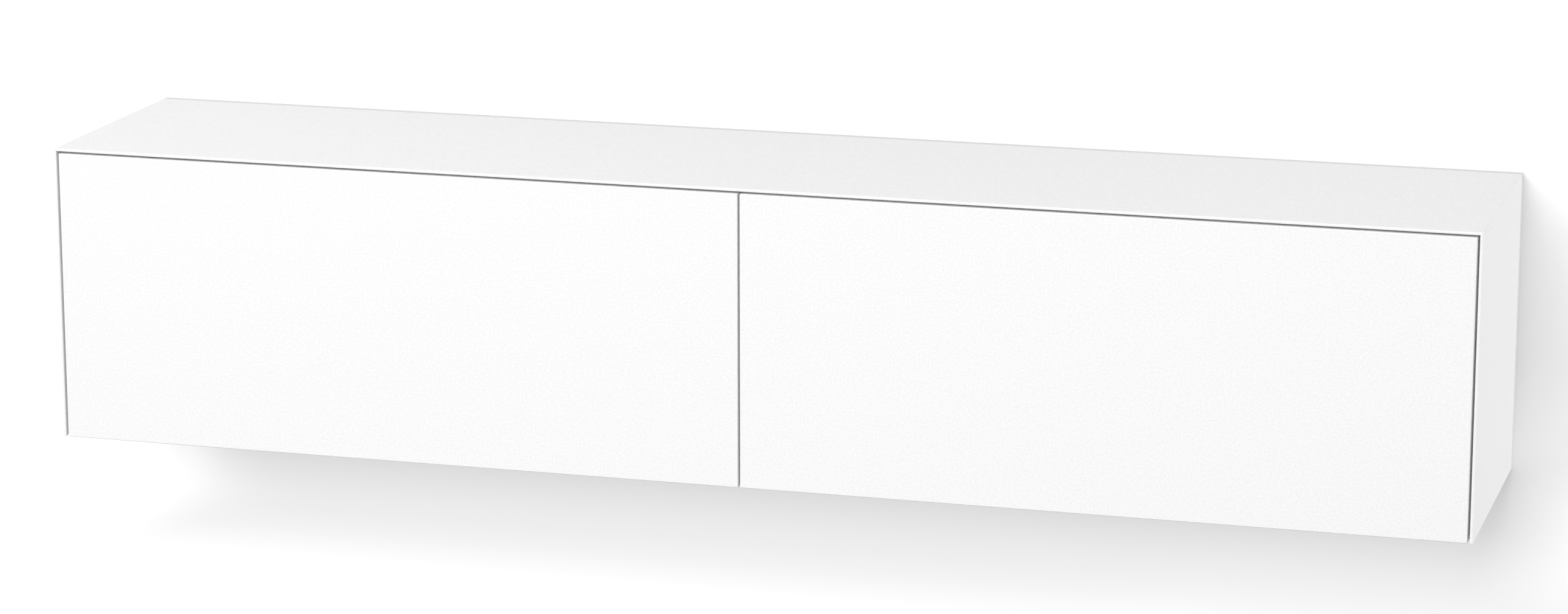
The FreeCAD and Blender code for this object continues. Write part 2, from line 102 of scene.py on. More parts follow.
def painted_room(name, floor_hex, wall_hex, stipple_mm, one_sided):
    """Matt emulsion with a faint roller stipple. Near the floor the paint is grey and glows with light of its own,
    a painted glow that lifts the shade under the cabinet. This gives way to plain white paint low on the wall."""
    material, tree = empty_material(name)
    place = add(tree, "ShaderNodeTexCoord")
    stipple = add(tree, "ShaderNodeTexNoise", {"Scale": 1 / (stipple_mm * MM), "Detail": 2.0},
                  {"Vector": place.outputs["Object"]})
    bump = add(tree, "ShaderNodeBump", {"Strength": 0.05, "Distance": STIPPLE_HIGH},
               {"Height": stipple.outputs["Fac"]})
    axes = add(tree, "ShaderNodeSeparateXYZ", {}, {"Vector": place.outputs["Object"]})
    height = {"Value": axes.outputs["Z"]}
    rise = {"From Min": FLOOR, "From Max": FLOOR + FADE_HEIGHT}
    # Painted glow: the paint gives off light near the floor, lifting the shade under the cabinet, and fades to
    # none up the wall.
    glow = add(tree, "ShaderNodeMapRange", {**rise, "To Min": PAINTED_GLOW, "To Max": 0.0}, height)
    climb = add(tree, "ShaderNodeMapRange", rise, height)
    colour = add(tree, "ShaderNodeMix", {"data_type": "RGBA", 6: linear(floor_hex), 7: linear(wall_hex)},
                 {0: climb.outputs["Result"]})
    paint = add(tree, "ShaderNodeBsdfPrincipled",
                {"Roughness": 0.9, "Specular IOR Level": 0.1, "Emission Color": (1, 1, 1, 1)},
                {"Base Color": colour.outputs[2], "Normal": bump.outputs["Normal"],
                 "Emission Strength": glow.outputs["Result"]})
    shader = paint.outputs["BSDF"]
    if one_sided:
        clear = add(tree, "ShaderNodeBsdfTransparent")
        side = add(tree, "ShaderNodeNewGeometry")
        mix = add(tree, "ShaderNodeMixShader", {}, {0: side.outputs["Backfacing"], 1: shader,
                                                    2: clear.outputs["BSDF"]})
        shader = mix.outputs["Shader"]
    add(tree, "ShaderNodeOutputMaterial", {}, {"Surface": shader})
    return material


def room_surface(name, profile, material):
    """A profile drawn in Y, Z and carried along X across the whole room."""
    across = np.array([-ROOM, ROOM])
    count = len(profile)
    points = np.stack([np.repeat(across, count), np.tile(profile[:, 0], 2), np.tile(profile[:, 1], 2)], 1)
    step = np.arange(count - 1)
    quads = np.stack([step, step + 1, count + step + 1, count + step], 1)
    mesh = bpy.data.meshes.new(name)
    mesh.from_pydata(points.tolist(), [], quads.tolist())
    mesh.shade_smooth()
    mesh.materials.append(material)
    piece = bpy.data.objects.new(name, mesh)
    bpy.context.scene.collection.objects.link(piece)
    piece.visible_diffuse = False
    return piece


ROOM = 30.0
HANGING_HEIGHT = 0.14
COVE_POINTS = 24
FLOOR = UNDERSIDE - HANGING_HEIGHT
# Painted glow: how strongly the room's paint shines at the floor, which lifts the shade under the cabinet.
PAINTED_GLOW = 0.54
FADE_HEIGHT = 0.27
STIPPLE_HIGH = 0.2 * MM
# The floor's grey paint, which the painted glow lifts to white outside the shade.
GLOW_FLOOR_GREY, WALL_PAINT = "#C2C2C2", "#F9F9F9"
room_surface("floor", np.array([(ROOM, FLOOR - MM), (-ROOM, FLOOR - MM)]),
             painted_room("pale floor", GLOW_FLOOR_GREY, WALL_PAINT, 2.5, False))
sweep = np.linspace(0, math.pi / 2, COVE_POINTS)
cove = np.stack([MM - HANGING_HEIGHT * (1 - np.sin(sweep)), FLOOR + HANGING_HEIGHT * (1 - np.cos(sweep))], 1)
wall = room_surface("wall", np.concatenate([[(-ROOM, FLOOR)], cove, [(MM, ROOM)]])[::-1],
                    painted_room("white wall", GLOW_FLOOR_GREY, WALL_PAINT, 2.5, True))
wall.visible_shadow = False
wall.visible_glossy = False


def softbox(name, place, target, size, watts):
    """A square studio light of the given size, aimed at a point."""
    lamp = bpy.data.lights.new(name, "AREA")
    lamp.size = size
    lamp.energy = watts
    piece = bpy.data.objects.new(name, lamp)
    piece.location = place
    aim = np.array(target) - np.array(place)
    flat = math.hypot(aim[0], aim[1])
    piece.rotation_euler = (math.atan2(flat, -aim[2]), 0, math.atan2(-aim[0], aim[1]))
    bpy.context.scene.collection.objects.link(piece)
    return piece


softbox("key_light", (0.4, -8.4, 3.3), (0, -0.2, 0), 3.4, 396)
softbox("left_light", (-6.6, -7.0, 6.4), (0, -0.2, 0), 5.0, 400)
softbox("fill_light", (6.0, 0.9, 0.5), (0.8, -0.2, -0.1), 2.2, 160)
softbox("overhead_light", (-2.0, -0.8, 3.8), (-0.6, -0.2, 0), 3.6, 60)
softbox("back_light", (0.8, 5.0, 0.7), (0, 0, 0), 3.0, 28)
SKY = 0.37
world = bpy.data.worlds.new("studio")
world.use_nodes = True
world.node_tree.nodes["Background"].inputs["Color"].default_value = (1, 1, 1, 1)
world.node_tree.nodes["Background"].inputs["Strength"].default_value = SKY
bpy.context.scene.world = world
bpy.context.scene.view_settings.view_transform = "Standard"


# ---------------------------------------------------------------------------------------------------------
# The carcass: four boards of 19 mm MDF, mitred and glued at the corners and sprayed with a structured matt
# lacquer. A rebate along the front of the top and sides leaves the thin lip that frames the flaps.
# ---------------------------------------------------------------------------------------------------------

def structured_lacquer(name, light, dark, wall_edge_shade, pebble_mm, relief_mm):
    """Sprayed two-pack lacquer, which looks matt and slightly speckled from its fine pebbled relief. Real pebbles
    are about half this size, too fine to show. A band along the edge at the wall is painted greyer, a painted
    shade for the dark line where the board meets the wall."""
    material, tree = empty_material(name)
    place = add(tree, "ShaderNodeTexCoord")
    where = {"Vector": place.outputs["Object"]}
    pebble = add(tree, "ShaderNodeTexVoronoi", {"Scale": 1 / (pebble_mm * MM), "feature": "SMOOTH_F1"}, where)
    grit = add(tree, "ShaderNodeTexNoise", {"Scale": 1 / (pebble_mm * MM), "Detail": 1.0}, where)
    height = add(tree, "ShaderNodeMath", {"operation": "ADD"},
                 {0: pebble.outputs["Distance"], 1: grit.outputs["Fac"]})
    bump = add(tree, "ShaderNodeBump", {"Strength": 0.35, "Distance": relief_mm * MM},
               {"Height": height.outputs[0]})
    speck = add(tree, "ShaderNodeMapRange", {"From Min": 0.3, "From Max": 0.7}, {"Value": grit.outputs["Fac"]})
    tone = add(tree, "ShaderNodeMix", {"data_type": "RGBA", 6: linear(dark), 7: linear(light)},
               {0: speck.outputs["Result"]})
    axes = add(tree, "ShaderNodeSeparateXYZ", {}, {"Vector": place.outputs["Object"]})
    # Painted shade: the band next to the edge at the wall is mixed towards a grey, for the dark line where the
    # board meets the wall.
    wall_shade_band = add(tree, "ShaderNodeMapRange",
                 {"From Min": WALL_SIDE - WALL_SHADE_OUTER, "From Max": WALL_SIDE - WALL_SHADE_INNER},
                 {"Value": axes.outputs["Y"]})
    colour = add(tree, "ShaderNodeMix", {"data_type": "RGBA", 7: linear(wall_edge_shade)},
                 {0: wall_shade_band.outputs["Result"], 6: tone.outputs[2]})
    sheen = add(tree, "ShaderNodeMapRange", {"To Min": 0.5, "To Max": 0.66}, {"Value": grit.outputs["Fac"]})
    coat = add(tree, "ShaderNodeBsdfPrincipled", {"IOR": 1.5, "Specular IOR Level": 0.35},
               {"Base Color": colour.outputs[2], "Roughness": sheen.outputs["Result"],
                "Normal": bump.outputs["Normal"]})
    add(tree, "ShaderNodeOutputMaterial", {}, {"Surface": coat.outputs["BSDF"]})
    return material


def eased_outline(corners, radii, inset):
    """The outline of a board's section with each outer corner rounded to its radius, and the whole of it drawn
    in by the inset. Each corner moves along the line between its two edges' inward directions."""
    here = np.array(corners, float)
    radius = np.broadcast_to(radii, len(here))[:, None]
    before, after = here - np.roll(here, 1, 0), np.roll(here, -1, 0) - here
    before /= np.linalg.norm(before, axis=1)[:, None]
    after /= np.linalg.norm(after, axis=1)[:, None]
    left = np.stack([-before[:, 1], before[:, 0]], 1)
    right = np.stack([-after[:, 1], after[:, 0]], 1)
    bisector = (left + right) / (1 + (left * right).sum(1))[:, None]
    convex = before[:, 0] * after[:, 1] - before[:, 1] * after[:, 0] > 1e-9
    share = np.linspace(0, 1, ARC_POINTS)[None, :, None]
    fan = -(left[:, None] * (1 - share) + right[:, None] * share)
    fan /= np.linalg.norm(fan, axis=2)[:, :, None]
    rounded = (here + radius * bisector)[:, None] + (radius - inset)[:, None] * fan
    square = np.repeat((here + inset * bisector)[:, None], ARC_POINTS, 1)
    return np.where(convex[:, None, None], rounded, square).reshape(-1, 2)


def ringed(rings):
    """Points and faces of a closed surface through a stack of rings, with a flat cap at each end. rings is an
    array with one row for each ring, and in it the X, Y, Z of each step round."""
    count, size = rings.shape[:2]
    ring, step = np.meshgrid(np.arange(count - 1), np.arange(size), indexing="ij")
    following = (step + 1) % size
    quads = np.stack([ring * size + step, ring * size + following, (ring + 1) * size + following,
                      (ring + 1) * size + step], 2).reshape(-1, 4)
    caps = [list(range(size))[::-1], list(range((count - 1) * size, count * size))]
    return rings.reshape(-1, 3), quads.tolist() + caps


def closed_mesh(name, parts, material):
    """One mesh from several closed shapes, each given as points and faces: doubles merged, empty faces dropped
    and faces turned outwards."""
    starts = np.cumsum([0] + [len(points) for points, faces in parts])
    faces = [[int(start) + corner for corner in face] for start, part in zip(starts, parts) for face in part[1]]
    mesh = bpy.data.meshes.new(name)
    mesh.from_pydata(np.concatenate([points for points, _ in parts]).tolist(), [], faces)
    work = bmesh.new()
    work.from_mesh(mesh)
    bmesh.ops.remove_doubles(work, verts=work.verts, dist=1e-6)
    bmesh.ops.dissolve_degenerate(work, edges=work.edges, dist=1e-6)
    bmesh.ops.recalc_face_normals(work, faces=work.faces)
    work.to_mesh(mesh)
    work.free()
    mesh.materials.append(material)
    return mesh


def made(name, parts, material, body, node, holes=()):
    """A finished piece: its closed shapes, less the holes drilled in them, with smooth arrises between flat
    faces. It rides on the body, stands for the CAD node and takes the slot's finish."""
    piece = bpy.data.objects.new(name, closed_mesh(name, parts, material))
    bpy.context.scene.collection.objects.link(piece)
    if holes:
        drill = bpy.data.objects.new("drill", closed_mesh("drill", holes, material))
        bpy.context.scene.collection.objects.link(drill)
        cut = piece.modifiers.new("holes", "BOOLEAN")
        cut.object = drill
        whole = piece.evaluated_get(bpy.context.evaluated_depsgraph_get())
        piece.data = bpy.data.meshes.new_from_object(whole)
        piece.modifiers.clear()
        bpy.data.objects.remove(drill)
    piece.data.shade_smooth()
    piece.data.set_sharp_from_angle(angle=SHARP)
    weighted = piece.modifiers.new("flat faces", "WEIGHTED_NORMAL")
    weighted.keep_sharp = True
    weighted.weight = 100
    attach(piece, body)
    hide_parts(node)
    return piece


def board(sections, reach, radius, place, radii=None):
    """A board made by carrying its section along its length. sections is a list of (position, corners), and
    reach(section points, end) is how far the board runs at each end, so that a mitre is a reach that changes
    across the section. The ends are eased to the radius by steps in which the section shrinks while it still
    moves on. radii, where it is given, is one radius for each long edge."""
    radii = radius if radii is None else radii
    angles = np.linspace(0, ARC_END, ARC_POINTS)
    steps = [(radius * (1 - math.sin(a)), radius * (1 - math.cos(a))) for a in angles]
    rings = []
    for pull, inset in steps[::-1]:
        points = eased_outline(sections[0][1], radii, inset)
        rings.append((reach(points, -1) + pull, points))
    for position, corners in sections:
        points = eased_outline(corners, radii, 0)
        if position is not None:
            rings.append((np.full(len(points), position), points))
    for pull, inset in steps:
        points = eased_outline(sections[-1][1], radii, inset)
        rings.append((reach(points, 1) - pull, points))
    along = np.array([r[0] for r in rings])
    across = np.array([r[1] for r in rings])
    return ringed(place(along, across[:, :, 0], across[:, :, 1]))


def rounded(skeleton, profile, place):
    """A solid with a rounded outline. Each profile row is (share, radius, height). Its ring is drawn at that
    radius round the skeleton's corners, which are first moved to the given share of their distance from the
    skeleton's middle. Two corners make a bar with round ends, four a plate, and a share of 0 a circle."""
    corners = np.array(skeleton, float)
    edges = np.roll(corners, -1, 0) - corners
    facing = np.arctan2(-edges[:, 0], edges[:, 1])
    turn = (facing - np.roll(facing, 1)) % math.tau
    angle = np.roll(facing, 1)[:, None] + turn[:, None] * np.linspace(0, 1, CORNER_POINTS)
    fan = np.stack([np.cos(angle), np.sin(angle)], -1)
    share, radius, height = (column[:, None, None, None] for column in np.array(profile, float).T)
    middle = corners.mean(0)
    flat = middle + share * (corners[:, None] - middle) + radius * fan
    rings = flat.reshape(len(profile), -1, 2)
    heights = np.broadcast_to(height[:, 0, 0], rings.shape[:2])
    return ringed(place(heights, rings[:, :, 0], rings[:, :, 1]))


def turned(profile, centre, axis, sides=24):
    """A turned solid: a profile of (radius, height) carried round the axis through the centre."""
    axis = np.array(axis, float)
    first = np.roll(axis, 1)
    second = np.cross(axis, first)
    angle = np.linspace(0, math.tau, sides, endpoint=False)
    radius, height = np.array(profile, float).T[:, :, None, None]
    spoke = np.cos(angle)[:, None] * first + np.sin(angle)[:, None] * second
    return ringed(np.array(centre) + radius * spoke + height * axis)


def along_x(along, first, second):
    """Places a section drawn in Y, Z along X."""
    return np.stack([along, first, second], -1)


def along_z(along, first, second):
    """Places a section drawn in X, Y along Z."""
    return np.stack([first, second, along], -1)


CORNER_POINTS = 7
ARC_POINTS = 5
ARC_END = math.radians(84)
EASED = 1.2 * MM
MITRE_EASED = 0.35 * MM
WALL_EASED = 1.2 * MM
LIP = 3.5 * MM
SHARP = math.radians(40)
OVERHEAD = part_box("top_panel")[1][2]
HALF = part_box("top_panel")[1][0]
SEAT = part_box("bottom_panel")[0][1]
WALL_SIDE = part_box("bottom_panel")[1][1]
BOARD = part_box("bottom_panel")[1][2] - UNDERSIDE
PROUD = 0.15 * MM
# How far in from the wall the painted shade along the wall edge begins, and from where it is full grey.
WALL_SHADE_OUTER = 14 * MM
WALL_SHADE_INNER = 9 * MM

white_lacquer = structured_lacquer("structured matt lacquer", "#F9F9F9", "#F1F1F1", "#E2E2E2", 2.4, 0.12)


def mitred_along_x(points, end):
    """The top and bottom are full length at their outer faces, and shorter by their depth below them."""
    depth = np.minimum(OVERHEAD - points[:, 1], points[:, 1] - UNDERSIDE)
    return end * (HALF - depth)


top_section = [(FRONT, OVERHEAD), (FRONT, OVERHEAD - LIP), (SEAT, OVERHEAD - LIP), (SEAT, OVERHEAD - BOARD),
               (WALL_SIDE, OVERHEAD - BOARD), (WALL_SIDE, OVERHEAD)]
top_radii = [EASED, EASED, MITRE_EASED, MITRE_EASED, MITRE_EASED, WALL_EASED]
made("lacquered_top", [board([(None, top_section)], mitred_along_x, MITRE_EASED, along_x, top_radii)],
     white_lacquer, "carcass", "top_panel")

FLOOR_FACE = UNDERSIDE + BOARD - PROUD
bottom_section = [(SEAT + PROUD, FLOOR_FACE), (SEAT + PROUD, UNDERSIDE), (WALL_SIDE, UNDERSIDE),
                  (WALL_SIDE, FLOOR_FACE)]
made("lacquered_bottom", [board([(None, bottom_section)], mitred_along_x, MITRE_EASED, along_x)],
     white_lacquer, "carcass", "bottom_panel")


def pin_holes(face, into):
    """Two upright rows of three blind holes for shelf pins, in a board's face at X = face. into is 1 or -1."""
    low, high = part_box("right_shelf_pins")
    middle = (low[2] + high[2]) / 2
    rows = [low[1] + PIN_RADIUS, high[1] - PIN_RADIUS]
    profile = [(PIN_RADIUS, -PIN_RADIUS), (PIN_RADIUS, HOLE_DEEP),
               (0.2 * PIN_RADIUS, HOLE_DEEP + PIN_RADIUS / 2)]
    return [turned(profile, (face, y, middle + step * HOLE_PITCH), (into, 0, 0), 20)
            for y in rows for step in (-1, 0, 1)]


PIN_RADIUS = 2.5 * MM
HOLE_DEEP = 9 * MM
HOLE_PITCH = 32 * MM

for side, sign in (("right", 1), ("left", -1)):
    def mitred_along_z(points, end):
        """A side runs to the top and underside at its outer face. Its lip runs square to the underside."""
        depth = HALF - np.abs(points[:, 0])
        if end > 0:
            return OVERHEAD - depth
        return UNDERSIDE + np.where(points[:, 1] < SEAT - MM, 0, depth)

    outer, lip_face, inner = sign * HALF, sign * (HALF - LIP), sign * (HALF - BOARD)
    side_section = [(outer, FRONT), (outer, WALL_SIDE), (inner, WALL_SIDE), (inner, SEAT), (lip_face, SEAT),
                    (lip_face, FRONT)][::sign]
    side_radii = [EASED, WALL_EASED, MITRE_EASED, MITRE_EASED, MITRE_EASED, EASED][::sign]
    panel = board([(None, side_section)], mitred_along_z, MITRE_EASED, along_z, side_radii)
    made(f"{side}_lacquered_side", [panel], white_lacquer, "carcass", f"{side}_side_panel",
         pin_holes(inner, sign))


# ---------------------------------------------------------------------------------------------------------
# The flaps: two plain fronts of the same lacquered board, eased all round, with a film of lacquer over the CAD
# board's side and top edges. The lower inner edge is chamfered and notched for the hinge knuckles.
# ---------------------------------------------------------------------------------------------------------

HINGE_LINE = [j for j in frame["joints"] if j["name"] == "right_flap_hinge"][0]["pos_m"]
CHAMFER = 3 * MM
NOTCH = 4.2 * MM
HINGE_HALF = 26.2 * MM
HINGE_END = 90 * MM


def straight_ends(low, high):
    """A reach for a board whose ends are cut square."""
    return lambda points, end: np.full(len(points), high if end > 0 else low)


def flap_sections(x0, x1, z0, z1):
    """The plain section and the notched one, in turn along the flap."""
    back = FRONT + FLAP_THICK - PROUD
    head = [(back, z1 + FILM), (FRONT, z1 + FILM), (FRONT, z0)]
    plain = head + [(back - CHAMFER, z0), (back - CHAMFER / 2, z0 + CHAMFER / 2), (back, z0 + CHAMFER)]
    y, z = HINGE_LINE[1] - NOTCH, HINGE_LINE[2] + NOTCH
    notched = head + [(y, z0), (y, z), (back, z)]
    sections = [(None, plain)]
    for middle in (x0 + HINGE_END, (x0 + x1) / 2, x1 - HINGE_END):
        sections += [(middle - HINGE_HALF, plain), (middle - HINGE_HALF, notched),
                     (middle + HINGE_HALF, notched), (middle + HINGE_HALF, plain)]
    return sections + [(None, plain)]


FILM = 0.3 * MM
FLAP_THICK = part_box("right_flap")[1][1] - FRONT
for side in ("right", "left"):
    low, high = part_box(f"{side}_flap")
    sections = flap_sections(low[0], high[0], low[2], high[2])
    ends = straight_ends(low[0] - FILM, high[0] + FILM)
    made(f"{side}_lacquered_flap", [board(sections, ends, EASED, along_x)],
         white_lacquer, f"{side}_flap", f"{side}_flap")


# ---------------------------------------------------------------------------------------------------------
# Inside the bays: the drilled partition, the shelves with their banded edges, the battens and the back. All are
# melamine-faced board, plain and a little greyer than the lacquer.
# ---------------------------------------------------------------------------------------------------------

def melamine(name, light, dark, grain_mm, cloud_mm):
    """Melamine-faced board. The emboss of its press plate breaks up the gloss, and its paper is cloudy."""
    material, tree = empty_material(name)
    place = add(tree, "ShaderNodeTexCoord")
    where = {"Vector": place.outputs["Object"]}
    emboss = add(tree, "ShaderNodeTexVoronoi",
                 {"Scale": 1 / (grain_mm * MM), "feature": "DISTANCE_TO_EDGE"}, where)
    cloud = add(tree, "ShaderNodeTexNoise", {"Scale": 1 / (cloud_mm * MM), "Detail": 3.0}, where)
    tone = add(tree, "ShaderNodeMix", {"data_type": "RGBA", 6: linear(dark), 7: linear(light)},
               {0: cloud.outputs["Fac"]})
    bump = add(tree, "ShaderNodeBump", {"Strength": 0.25, "Distance": EMBOSS_DEEP},
               {"Height": emboss.outputs["Distance"]})
    face = add(tree, "ShaderNodeBsdfPrincipled", {"IOR": 1.5, "Roughness": 0.45, "Specular IOR Level": 0.4},
               {"Base Color": tone.outputs[2], "Normal": bump.outputs["Normal"]})
    add(tree, "ShaderNodeOutputMaterial", {}, {"Surface": face.outputs["BSDF"]})
    return material


def finish_node(name, material):
    """Gives a CAD node its real finish."""
    for slot in frame["nodes"][name].material_slots:
        slot.material = material


def plain_board(node, radius, along):
    """A board with square ends that fills a CAD node's box, run along X or Z and eased all round."""
    low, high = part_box(node)
    first, second = ((1, 2), (0, 1))[along == 2]
    section = [(low[first], low[second]), (high[first], low[second]), (high[first], high[second]),
               (low[first], high[second])]
    place = along_z if along == 2 else along_x
    return board([(None, section)], straight_ends(low[along], high[along]), radius, place)


BANDED = 0.6 * MM
EMBOSS_DEEP = 0.05 * MM
white_melamine = melamine("white melamine", "#F2F2F0", "#ECECEA", 1.2, 60)
half_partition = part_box("centre_partition")[1][0]
made("drilled_partition", [plain_board("centre_partition", BANDED, 2)], white_melamine, "carcass",
     "centre_partition", pin_holes(half_partition, -1) + pin_holes(-half_partition, 1))
for side in ("right", "left"):
    made(f"{side}_banded_shelf", [plain_board(f"{side}_shelf", BANDED, 0)], white_melamine, "carcass",
         f"{side}_shelf")
    made(f"{side}_batten_board", [plain_board(f"{side}_hanging_batten", BANDED, 0)], white_melamine, "carcass",
         f"{side}_hanging_batten")
finish_node("back_panel", white_melamine)


# ---------------------------------------------------------------------------------------------------------
# Hinges: three butt hinges to a flap, pressed from zinc-plated strip, with the knuckles rolled round a steel
# pin. One leaf wraps the bottom's front edge and top face, and the other is let into the flap.
# ---------------------------------------------------------------------------------------------------------

def zinc_plate(name, light, dark, brush_mm, cloud_mm):
    """Bright zinc over steel: a metal with faint brushing, and with cloudy patches from the plating bath."""
    material, tree = empty_material(name)
    place = add(tree, "ShaderNodeTexCoord")
    stretch = add(tree, "ShaderNodeMapping", {"Scale": BRUSH_STRETCH}, {"Vector": place.outputs["Object"]})
    brush = add(tree, "ShaderNodeTexNoise", {"Scale": 1 / (brush_mm * MM), "Detail": 3.0},
                {"Vector": stretch.outputs["Vector"]})
    cloud = add(tree, "ShaderNodeTexNoise", {"Scale": 1 / (cloud_mm * MM), "Detail": 2.0},
                {"Vector": place.outputs["Object"]})
    tone = add(tree, "ShaderNodeMix", {"data_type": "RGBA", 6: linear(dark), 7: linear(light)},
               {0: cloud.outputs["Fac"]})
    gloss = add(tree, "ShaderNodeMapRange", {"To Min": 0.28, "To Max": 0.46}, {"Value": brush.outputs["Fac"]})
    bump = add(tree, "ShaderNodeBump", {"Strength": 0.15, "Distance": SCRATCH_DEEP},
               {"Height": brush.outputs["Fac"]})
    plate = add(tree, "ShaderNodeBsdfPrincipled", {"Metallic": 1.0},
                {"Base Color": tone.outputs[2], "Roughness": gloss.outputs["Result"],
                 "Normal": bump.outputs["Normal"]})
    add(tree, "ShaderNodeOutputMaterial", {}, {"Surface": plate.outputs["BSDF"]})
    return material


def pressed(size, corner, ease, thick, place):
    """A flat pressed plate with rounded corners, and with its edges eased as the die leaves them. size is its
    (low, high) pair in each of its two directions, and thick the pair of heights of its two faces."""
    (u0, u1), (v0, v1) = size
    inner_u, inner_v = (u0 + corner, u1 - corner), (v0 + corner, v1 - corner)
    skeleton = [(inner_u[0], inner_v[0]), (inner_u[1], inner_v[0]), (inner_u[1], inner_v[1]),
                (inner_u[0], inner_v[1])]
    low, high = thick
    rows = [(1, corner - ease, low), (1, corner - 0.3 * ease, low + 0.3 * ease), (1, corner, low + ease),
            (1, corner, high - ease), (1, corner - 0.3 * ease, high - 0.3 * ease), (1, corner - ease, high)]
    return rounded(skeleton, rows, place)


def along_y(along, first, second):
    """Places a section drawn in X, Z along Y."""
    return np.stack([first, along, second], -1)


def rolled(x0, x1):
    """One knuckle: a drum round the pin's line with eased ends, and a bore in which the pin's end shows."""
    ends = [(PIN_BORE, KNUCKLE_EASE), (PIN_BORE, 0), (KNUCKLE - KNUCKLE_EASE, 0), (KNUCKLE, KNUCKLE_EASE)]
    profile = ends + [(radius, x1 - x0 - height) for radius, height in ends[::-1]]
    return turned(profile, (x0, HINGE_LINE[1], HINGE_LINE[2]), (1, 0, 0))


def screw(head, axis, length):
    """A countersunk cross-recessed wood screw, whose head stands a hair proud. Radius and height run from the
    middle of the head out to its rim, down the cone and along the shank to the point. The recess is a dip with
    four wings, and the thread is a ridge whose place along the shank moves on by one pitch for each turn."""
    head_radii = np.linspace(0.08, 1, 9) * HEAD_RADIUS
    shank = np.linspace(HEAD_RADIUS - SHANK_RADIUS, length - 2 * SHANK_RADIUS, int(length / THREAD_STEP))
    point = [(0.6 * SHANK_RADIUS, length - SHANK_RADIUS), (0.08 * SHANK_RADIUS, length)]
    radius = np.concatenate([head_radii, np.full(len(shank), SHANK_RADIUS), [r for r, _ in point]])
    height = np.concatenate([np.zeros(len(head_radii)), shank, [h for _, h in point]])
    angle = np.linspace(0, math.tau, 24, endpoint=False)
    radius, height, angle = np.broadcast_arrays(radius[:, None], height[:, None], angle)
    wing = np.minimum(np.abs(radius * np.cos(angle)), np.abs(radius * np.sin(angle)))
    dip = np.clip(1.4 - wing / RECESS_HALF, 0, 1) * np.clip(2 - 2 * radius / RECESS_REACH, 0, 1)
    on_head = height == 0
    turn = (height / THREAD_PITCH - angle / math.tau) % 1
    ridge = np.where(height > HEAD_RADIUS, THREAD_HIGH * (np.abs(2 * turn - 1) - 1), 0)
    radius = radius + np.where(height < length - 1.5 * SHANK_RADIUS, ridge, 0)
    height = height + np.where(on_head, RECESS_DEEP * dip, 0)
    axis = np.array(axis, float)
    first = np.roll(axis, 1)
    spoke = np.cos(angle)[:, :, None] * first + np.sin(angle)[:, :, None] * np.cross(axis, first)
    return ringed(np.array(head) + radius[:, :, None] * spoke + (height[:, :, None] - PROUD) * axis)


HEAD_RADIUS = 3.2 * MM
SHANK_RADIUS = 1.75 * MM
SCREW_LONG = 14.5 * MM
RECESS_HALF = 0.45 * MM
RECESS_REACH = 1.9 * MM
RECESS_DEEP = 1.1 * MM
THREAD_PITCH = 1.6 * MM
THREAD_HIGH = 0.45 * MM
THREAD_STEP = 0.4 * MM
SHEET = 1.5 * MM
KNUCKLE = 3 * MM
KNUCKLE_EASE = 0.3 * MM
PIN_BORE = 1.25 * MM
KNUCKLE_MID = 20 * MM
KNUCKLE_GAP = 0.3 * MM
LEAF_HALF = 25 * MM
LEAF_DEEP = 30 * MM
LEAF_LOW = KNUCKLE + 1.2 * MM
LEAF_HIGH = 36 * MM
LEAF_CORNER = 2 * MM
SCREW_SHARE = 0.6
DIE_EASE = 0.35 * MM
FLAP_BACK = FRONT + FLAP_THICK
TOP_FACE = UNDERSIDE + BOARD

